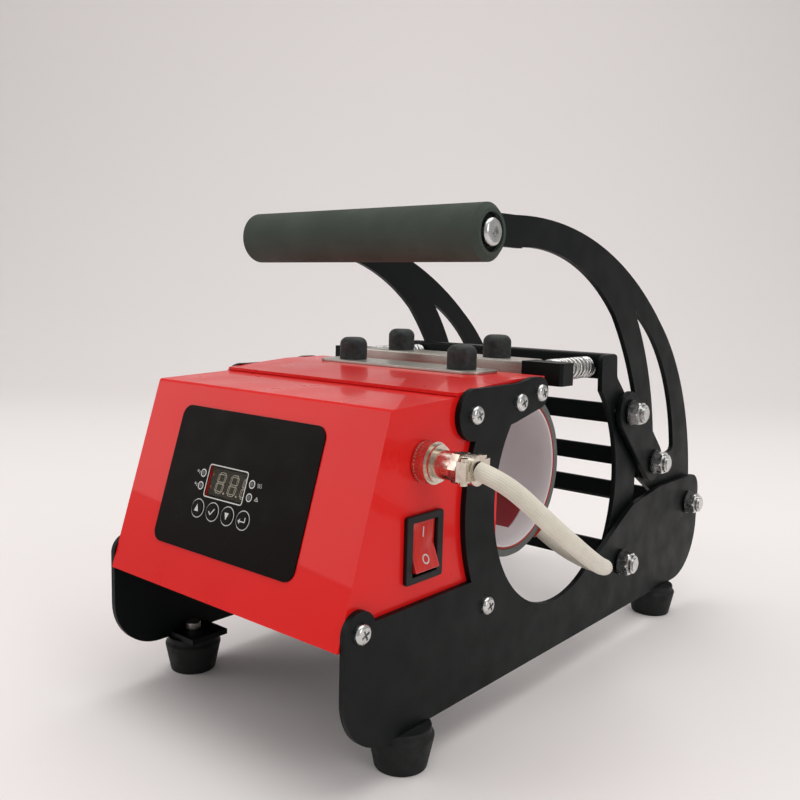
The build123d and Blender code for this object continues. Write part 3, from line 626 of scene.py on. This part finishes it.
def heater_layer(name, node, start, end, radii, half, slot, wave=0.0):
    """One layer of the wrap: a front part on the base and a rear part on no body, its place baked into its mesh.
    """
    parts = [(name + "_rear", max(start, BOTTOM_ANGLE), end, True)]
    if start < BOTTOM_ANGLE:
        parts.append((name + "_front", start, BOTTOM_ANGLE, False))
    for part, first, last, flexes in parts:
        steps = max(8, round(STEPS_PER_RADIAN * (last - first)))
        inner, outer = arc_lines(first, last, *radii, steps)
        vertices, faces = strip_between(inner, outer, half, wave)
        material = PATCH if node == "terminal_patch" else SLOT_MATERIALS[slot]
        piece = new_object(part, mesh_from(part, vertices, faces), None, material)
        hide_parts(node)
        if flexes:
            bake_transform(piece)
        else:
            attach(piece, "base")


def make_heater():
    liner = MUG_R + LINER_T
    mat = liner + MAT_T
    pad = mat + PAD_T
    heater_layer("heater_sponge", "heater_pad", FRONT_ANGLE, REAR_ANGLE, (mat, pad), HEATER_HALF,
                 "sponge", SPONGE_WAVE)
    heater_layer("heater_red_mat", "heater_mat", FRONT_ANGLE, REAR_ANGLE, (liner, mat),
                 HEATER_HALF + 0.4 * MM, "silicone")
    heater_layer("heater_lining", "heater_liner", FRONT_ANGLE, REAR_ANGLE, (MUG_R + 0.05 * MM, liner),
                 HEATER_HALF, "liner_cloth")
    heater_layer("heater_patch", "terminal_patch", *PATCH_ANGLES,
                 (MUG_R - 0.05 * MM, MUG_R + 0.3 * MM), PATCH_HALF, "silicone")


TAIL_T = 1.6 * MM
TAIL_HALF = 50 * MM


def tail_strip(name, line, flexes):
    """A thin strip that carries the heater's end to its clamp."""
    vertices = []
    for x in (-TAIL_HALF, TAIL_HALF):
        for side in (-0.5, 0.5):
            for i, (y, z) in enumerate(line):
                before = Vector(line[max(i - 1, 0)])
                after = Vector(line[min(i + 1, len(line) - 1)])
                along = (after - before).normalized()
                vertices.append((x, y - along.y * TAIL_T * side, z + along.x * TAIL_T * side))
    n = len(line)
    faces = []
    for base in (0, 2 * n):
        for i in range(n - 1):
            faces.append((base + i, base + i + 1, base + n + i + 1, base + n + i))
    for row in (0, n):
        for i in range(n - 1):
            faces.append((row + i, row + i + 1, row + 2 * n + i + 1, row + 2 * n + i))
    for i in (0, n - 1):
        faces.append((i, i + n, i + 3 * n, i + 2 * n))
    mesh = mesh_from(name, vertices, faces)
    piece = new_object(name, mesh, None, SLOT_MATERIALS["silicone"])
    if flexes:
        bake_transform(piece)
    else:
        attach(piece, "base")


def bend_line(points, steps=6):
    """Round the corners of a (Y, Z) line with quadratic curves."""
    line = [points[0]]
    for a, b, c in zip(points, points[1:], points[2:]):
        start = Vector(a).lerp(Vector(b), 0.5)
        end = Vector(b).lerp(Vector(c), 0.5)
        for i in range(steps + 1):
            t = i / steps
            line.append(tuple(start.lerp(Vector(b), t).lerp(Vector(b).lerp(end, t), t)))
    line.append(points[-1])
    return line


def make_tails():
    """The heater's two ends: one under the front cover, one into the sliding clamp bar."""
    middle = MUG_R + 3.0 * MM
    clamp_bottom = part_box("rear_clamp_bar")[0][2]
    cover_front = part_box("rear_cover")[0][1]
    front = ring_point(FRONT_ANGLE, middle)
    top = ring_point(FRONT_ANGLE, middle + 4.6 * MM)
    under_cover = (cover_front + 20 * MM, top[1] + 1.5 * MM)
    front_line = bend_line([front, top, (top[0] - 9 * MM, top[1] + 1.2 * MM), under_cover])
    tail_strip("heater_front_tail", front_line, False)
    rear = ring_point(REAR_ANGLE, middle)
    inside = (rear[0] + 0.5 * MM, clamp_bottom + 3.5 * MM)
    rear_line = bend_line([rear, (rear[0] + 1.2 * MM, (rear[1] + inside[1]) / 2), inside])
    tail_strip("heater_rear_tail", rear_line, True)


make_heater()
make_tails()


# ---- clamp springs ------------------------------------------------------------------
SPRING_TURNS = 12
STEPS_PER_TURN = 26
CLOSED_ENDS = 0.045             # how much closer the turns wind at both ends
WIRE_R = 1.0 * MM
WIRE_SIDES = 10


def clamp_springs():
    """Two wire coils in the clamp springs' place, on the rear frame."""
    lo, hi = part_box("clamp_springs")
    coil_r = (hi.z - lo.z) / 2 - WIRE_R
    centre_x = hi.x - coil_r - WIRE_R
    centre_z = (hi.z + lo.z) / 2
    start = lo.y + WIRE_R
    end = hi.y - WIRE_R
    steps = SPRING_TURNS * STEPS_PER_TURN
    for name, side in (("spring_left", -1), ("spring_right", 1)):
        points = []
        for i in range(steps + 1):
            angle = 2 * math.pi * SPRING_TURNS * i / steps
            share = i / steps
            eased = share - CLOSED_ENDS * math.sin(2 * math.pi * share)
            points.append(Vector((side * centre_x + coil_r * math.cos(angle),
                                  start + (end - start) * eased,
                                  centre_z + coil_r * math.sin(angle))))
        mesh = tube_mesh(name, points, Ring(WIRE_SIDES, lambda i, angle: WIRE_R))
        coil = new_object(name, mesh, "rear_frame", SLOT_MATERIALS["bright_steel"])
        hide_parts("clamp_springs")
        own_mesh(coil)


clamp_springs()


# ---- flat graphics ------------------------------------------------------------------
class Artwork:
    """Flat shapes in millimetres, raised a little from a plane."""

    def __init__(self):
        self.strips = []

    def ring(self, x, y, outer, inner, sides=40):
        loops = []
        for radius in (outer, inner):
            loops.append([(x + radius * math.cos(2 * math.pi * i / sides),
                           y + radius * math.sin(2 * math.pi * i / sides)) for i in range(sides)])
        self.band(*loops)

    def band(self, outer, inner):
        count = len(outer)
        for i in range(count):
            k = (i + 1) % count
            self.strips.append([outer[i], outer[k], inner[k], inner[i]])

    def shape(self, *points):
        self.strips.append(list(points))

    def line(self, width, *points):
        for a, b in zip(points, points[1:]):
            along = (Vector(b) - Vector(a)).normalized()
            side = Vector((-along.y, along.x)) * width / 2
            lead = along * width * 0.3
            corners = (Vector(a) - lead + side, Vector(b) + lead + side,
                       Vector(b) + lead - side, Vector(a) - lead - side)
            self.shape(*[tuple(c) for c in corners])

    def rounded_frame(self, x, y, width, height, radius, line, steps=6):
        loops = []
        for grow in (line / 2, -line / 2):
            loop = []
            for qx, qy, start in ((1, 1, 0), (-1, 1, 90), (-1, -1, 180), (1, -1, 270)):
                cx = x + qx * (width / 2 - radius)
                cy = y + qy * (height / 2 - radius)
                for i in range(steps + 1):
                    angle = math.radians(start + 90 * i / steps)
                    loop.append((cx + (radius + grow) * math.cos(angle),
                                 cy + (radius + grow) * math.sin(angle)))
            loops.append(loop)
        self.band(*loops)

    def build(self, name, origin, across, up, height, thickness, body, material, slot):
        normal = across.cross(up).normalized()
        vertices = []
        faces = []
        for strip in self.strips:
            first = len(vertices)
            count = len(strip)
            for level in (height, height + thickness):
                vertices += [origin + (across * x + up * y) * MM + normal * level for x, y in strip]
            faces.append(tuple(range(first, first + count)))
            faces.append(tuple(range(first + count, first + 2 * count)))
            for i in range(count):
                k = (i + 1) % count
                faces.append((first + i, first + k, first + count + k, first + count + i))
        return new_object(name, mesh_from(name, vertices, faces), body, material, smooth=False)


# ---- control panel ------------------------------------------------------------------
FACE_RUN, FACE_RISE = 30.6, 97.8    # how far the sloping face runs back and rises, in mm
FACE_LEAN = math.atan2(FACE_RUN, FACE_RISE)
PANEL_X = Vector((1, 0, 0))
PANEL_UP = Vector((0, math.sin(FACE_LEAN), math.cos(FACE_LEAN)))
INK_T = 0.05 * MM
OVERLAY_TOP = 0.3 * MM          # above the overlay's middle


def middle_of(node):
    lo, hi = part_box(node)
    return (Vector(lo) + Vector(hi)) / 2


PANEL_ORIGIN = middle_of("panel_overlay")


def on_panel(point):
    """Panel coordinates in millimetres of a point in metres."""
    offset = Vector(point) - PANEL_ORIGIN
    return (offset.dot(PANEL_X) / MM, offset.dot(PANEL_UP) / MM)


def draw(art, name, height, body="base", material=INK, slot="overlay_film"):
    return art.build(name, PANEL_ORIGIN, PANEL_X, PANEL_UP, height, INK_T, body, material, slot)


KEYS = ("key_up", "key_ok", "key_down", "key_enter")
LAMP_X = (-24.0, 12.1)
LAMP_UP = (2.9, -3.4)
KEY_RING = (4.7, 4.25)
LAMP_RING = (2.05, 1.5)
WINDOW_LINE = (28.3, 15.8, 1.3, 0.55)   # width, height, corner radius and line width
WINDOW_LIGHT_HALF = 13.7
DIGITS = 3
FIRST_DIGIT = -5.3
DIGIT_PITCH = 9.3
DIGIT_HALF_W = 2.35
DIGIT_HALF_H = 4.6
DIGIT_SLANT = 0.12


def wave(art, x, y):
    """A small rising-heat wave."""
    points = [(x + 0.32 * math.sin(i * 0.9), y - 0.95 + 0.27 * i) for i in range(8)]
    art.line(0.26, *points)


def panel_print():
    """White ink on the overlay: key rings, lamp rings, window frame and small signs."""
    art = Artwork()
    for key in KEYS:
        x, y = on_panel(middle_of(key))
        art.ring(x, y, *KEY_RING)
    window_x, window_y = on_panel(middle_of("display_window"))
    art.rounded_frame(window_x, window_y, *WINDOW_LINE)
    for x in LAMP_X:
        for y in LAMP_UP:
            art.ring(x, y, *LAMP_RING)
    for y in LAMP_UP:
        art.ring(LAMP_X[0] - 4.3, y + 0.55, 0.55, 0.3, 18)
        art.line(0.28, (LAMP_X[0] - 3.0, y - 0.7), (LAMP_X[0] - 3.0, y + 0.6))
    right = LAMP_X[1]
    for i in range(3):
        wave(art, right + 4.2 + 1.1 * i, LAMP_UP[0])
    low = LAMP_UP[1]
    art.line(0.24, (right + 4.0, low - 0.8), (right + 5.2, low + 1.0), (right + 6.4, low - 0.8),
             (right + 4.0, low - 0.8))
    art.line(0.24, (right + 5.2, low - 0.35), (right + 5.2, low + 0.3))
    draw(art, "panel_print", OVERLAY_TOP + 0.01 * MM)


def key_marks():
    """A sign on each key: up, tick, down and return arrow."""
    key_top = OVERLAY_TOP + 0.71 * MM
    for key in KEYS:
        x, y = on_panel(middle_of(key))
        art = Artwork()
        if key == "key_up":
            art.shape((x - 1.5, y - 1.5), (x + 1.5, y - 1.5), (x, y + 2.0))
        elif key == "key_down":
            art.shape((x + 1.5, y + 1.5), (x - 1.5, y + 1.5), (x, y - 2.0))
        elif key == "key_ok":
            art.line(0.55, (x - 1.8, y - 0.1), (x - 0.5, y - 1.5), (x + 1.9, y + 1.5))
        else:
            art.line(0.5, (x + 2.1, y + 1.4), (x + 2.1, y - 0.6), (x - 1.4, y - 0.6))
            art.shape((x - 1.2, y + 0.7), (x - 2.6, y - 0.6), (x - 1.2, y - 1.9))
        draw(art, key + "_mark", key_top, key, slot="key_film")


def digit_segments(x, y, inset):
    """The seven segments of one digit, each a slim hexagon, leaning to the right."""
    gap = 0.16 + 1.4 * inset
    thick = 0.62 - inset
    bars = []
    for level in (-1, 0, 1):
        bars.append(((-DIGIT_HALF_W, level * DIGIT_HALF_H), (DIGIT_HALF_W, level * DIGIT_HALF_H)))
    for side in (-1, 1):
        for half in (-1, 1):
            bars.append(((side * DIGIT_HALF_W, 0), (side * DIGIT_HALF_W, half * DIGIT_HALF_H)))
    shapes = []
    for a, b in bars:
        start, end = Vector(a), Vector(b)
        along = (end - start).normalized()
        side = Vector((-along.y, along.x))
        start += along * gap
        end -= along * gap
        outline = [start, start + (along + side) * thick, end + (side - along) * thick, end,
                   end - (side + along) * thick, start + (along - side) * thick]
        shapes.append([(x + p.x + DIGIT_SLANT * p.y, y + p.y) for p in outline])
    return shapes


def display():
    """Unlit digits and two small red dots behind the smoked window."""
    window_x, window_y = on_panel(middle_of("display_window"))
    right_edge = window_x + WINDOW_LIGHT_HALF
    outlines = Artwork()
    bodies = Artwork()
    for i in range(DIGITS):
        x = window_x + FIRST_DIGIT + DIGIT_PITCH * i
        for art, inset in ((outlines, 0.0), (bodies, 0.30)):
            for loop in digit_segments(x, window_y, inset):
                loop = [(min(px, right_edge), py) for px, py in loop]
                if max(p[0] for p in loop) - min(p[0] for p in loop) > 0.3:
                    art.shape(*loop)
        if i < DIGITS - 1:
            outlines.ring(x + DIGIT_HALF_W + 1.3, window_y - DIGIT_HALF_H, 0.5, 0.02, 14)
    level = OVERLAY_TOP - 1.3 * MM + 0.01 * MM
    draw(outlines, "digit_outlines", level, material=segment_ink(), slot="black_plastic")
    draw(bodies, "digit_bodies", level + 0.04 * MM, material=display_face(), slot="black_plastic")
    dots = Artwork()
    for y in (3.2, -2.8):
        dots.ring(window_x - 11.9, window_y + y, 0.75, 0.02, 18)
    draw(dots, "display_dots", level, material=red_dot(), slot="red_rocker")


panel_print()
key_marks()
display()


# ---- rocker marks -------------------------------------------------------------------
ROCKER_TILT = math.radians(9)
ROCKER_FLAT = math.atan2(2.2, 11.2)
ROCKER_HINGE = 3.4 * MM


def rocker_marks():
    """A white bar on the upper half of the rocker and a ring on the lower half."""
    hinge = joint_named("rocker_tilt")["pos_m"]
    across = Vector((0, 1, 0))
    down = Vector((math.sin(ROCKER_TILT), 0, -math.cos(ROCKER_TILT)))
    out = Vector((math.cos(ROCKER_TILT), 0, math.sin(ROCKER_TILT)))
    ridge = Vector(hinge) + out * ROCKER_HINGE
    for name, sign in (("rocker_bar_mark", -1), ("rocker_ring_mark", 1)):
        along = down * math.cos(ROCKER_FLAT) * sign + out * math.sin(ROCKER_FLAT)
        up = along if sign < 0 else -along
        centre = ridge + along * 6.3 * MM
        art = Artwork()
        if sign < 0:
            art.line(0.7, (0, -2.2), (0, 2.2))
        else:
            art.ring(0, 0, 2.3, 1.65, 28)
        art.build(name, centre, across, up, 0.02 * MM, 0.06 * MM, "rocker", INK, "red_rocker")


rocker_marks()


# ---- stage --------------------------------------------------------------------------
def backdrop_material():
    paint = Paint("backdrop", (0.86, 0.825, 0.82), 0.9, Specular_IOR_Level=0.1)
    paint.tint(paint.ranged(paint.noise(2, 2), 0, 1), (0.865, 0.83, 0.825))
    return paint.material


STAGE_FRONT = -3.0              # metres, along the camera's line
STAGE_BACK = 2.2
STAGE_TOP = 3.2
STAGE_HALF = 5.0
STAGE_BEND = 1.0
BEND_STEPS = 16


def make_stage():
    """A pale floor that curves up into a pale wall."""
    profile = [(STAGE_FRONT, 0.0), (STAGE_BACK - STAGE_BEND, 0.0)]
    for i in range(1, BEND_STEPS + 1):
        angle = math.pi / 2 * i / BEND_STEPS
        profile.append((STAGE_BACK - STAGE_BEND + STAGE_BEND * math.sin(angle),
                        STAGE_BEND - STAGE_BEND * math.cos(angle)))
    profile.append((STAGE_BACK, STAGE_TOP))
    turn = Matrix.Rotation(CAMERA_YAW, 3, "Z")
    vertices = []
    for x in (-STAGE_HALF, STAGE_HALF):
        vertices += [turn @ Vector((x, y, z)) for y, z in profile]
    n = len(profile)
    faces = [(i, i + 1, n + i + 1, n + i) for i in range(n - 1)]
    mesh = mesh_from("studio_floor", vertices, faces)
    floor = new_object("studio_floor", mesh, None, backdrop_material())


WORLD_COLOUR = (0.86, 0.845, 0.835, 1)
WORLD_STRENGTH = 0.50
LIGHTS = (                      # name, place, target, size in metres, watts, colour
    ("ceiling", (0.1, 0.2, 1.9), (0, 0, 0.1), (2.2, 2.2), 26, (1.0, 0.99, 0.97)),
    ("left_front", (-1.3, -1.4, 1.0), (0, 0, 0.12), (1.0, 1.4), 9, (1.0, 0.98, 0.96)),
    ("right_side", (1.9, -0.3, 0.9), (0, 0, 0.12), (0.8, 1.2), 7, (1.0, 1.0, 1.0)),
)


def area_light(name, place, target, size, power, colour):
    """A rectangular lamp at a place, turned to face a target."""
    data = bpy.data.lights.new(name, "AREA")
    data.shape = "RECTANGLE"
    data.size, data.size_y = size
    data.energy = power
    data.color = colour
    light = bpy.data.objects.new(name, data)
    bpy.context.scene.collection.objects.link(light)
    light.location = place
    light.rotation_mode = "QUATERNION"
    light.rotation_quaternion = (Vector(target) - Vector(place)).to_track_quat("-Z", "Y")


def make_light():
    """Plain soft studio light: a wide ceiling panel, two fills and a pale room."""
    world = bpy.data.worlds.new("studio")
    world.use_nodes = True
    background = world.node_tree.nodes["Background"]
    background.inputs["Color"].default_value = WORLD_COLOUR
    background.inputs["Strength"].default_value = WORLD_STRENGTH
    bpy.context.scene.world = world
    for light in LIGHTS:
        area_light(*light)
    bpy.context.scene.view_settings.view_transform = "Standard"


make_stage()
make_light()
